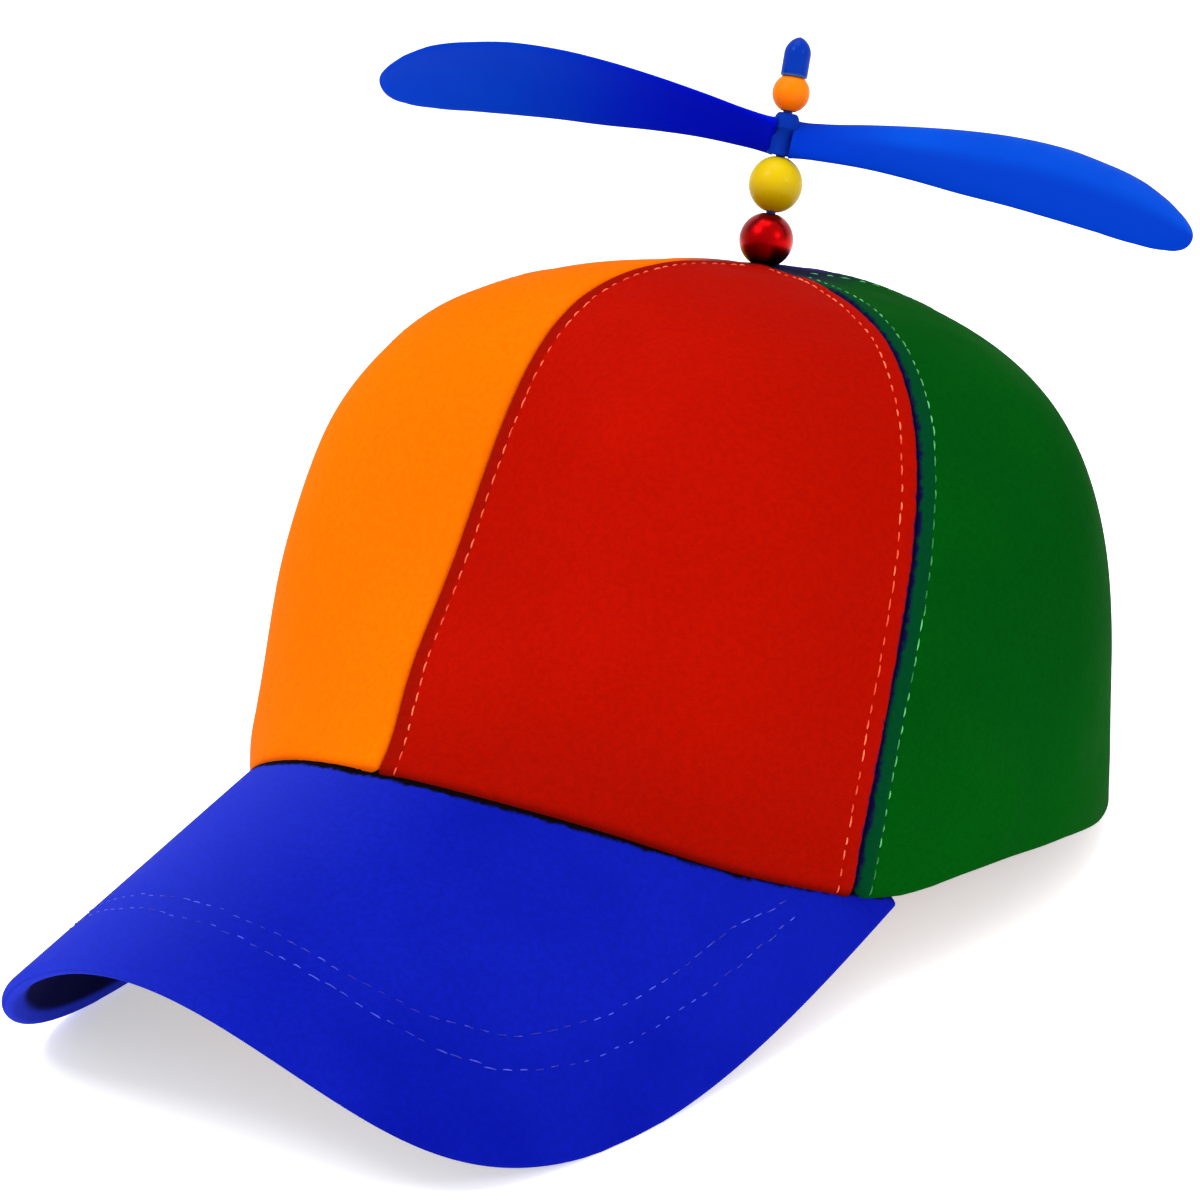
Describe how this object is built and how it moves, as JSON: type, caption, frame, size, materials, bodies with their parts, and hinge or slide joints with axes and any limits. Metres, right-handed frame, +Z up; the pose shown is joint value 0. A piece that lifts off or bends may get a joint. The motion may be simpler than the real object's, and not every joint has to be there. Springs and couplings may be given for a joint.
{
  "type": "propeller cap",
  "caption": "Panelled cloth cap with a curved brim and a beaded spindle on top that carries a free-spinning propeller.",
  "frame": {"origin": "on the table, under the middle of the whole object's bounding box", "axes": "+Z up, front of the cap towards -Y, wearer's left towards +X"},
  "size_m": [0.1736, 0.2588, 0.1718],
  "materials": {
    "panel_front_left": "matte woven cotton",
    "panel_front_right": "matte woven cotton",
    "panel_side_left": "matte woven cotton",
    "panel_side_right": "matte woven cotton",
    "panel_back_left": "matte woven cotton",
    "panel_back_right": "matte woven cotton",
    "brim": "matte woven cotton",
    "spindle": "smooth moulded",
    "bead_red": "smooth moulded",
    "bead_yellow": "smooth moulded",
    "propeller": "smooth moulded",
    "bead_orange": "smooth moulded",
    "tip_cap": "smooth moulded"
  },
  "bodies": {
    "cap": {"panel_front_left": "panel_front_left", "panel_front_right": "panel_front_right", "panel_side_left": "panel_side_left", "panel_side_right": "panel_side_right", "panel_back_left": "panel_back_left", "panel_back_right": "panel_back_right", "brim": "brim", "spindle": "spindle", "bead_red": "bead_red", "bead_yellow": "bead_yellow", "bead_orange": "bead_orange", "tip_cap": "tip_cap"},
    "propeller": {"propeller": "propeller"}
  },
  "joints": [
    {"name": "propeller_spin", "type": "hinge", "parent": "cap", "child": "propeller", "pos_m": [0.0064, 0.06951, 0.14683], "axis": [0.1355, 0.2762, 0.9515], "continuous": true}
  ]
}
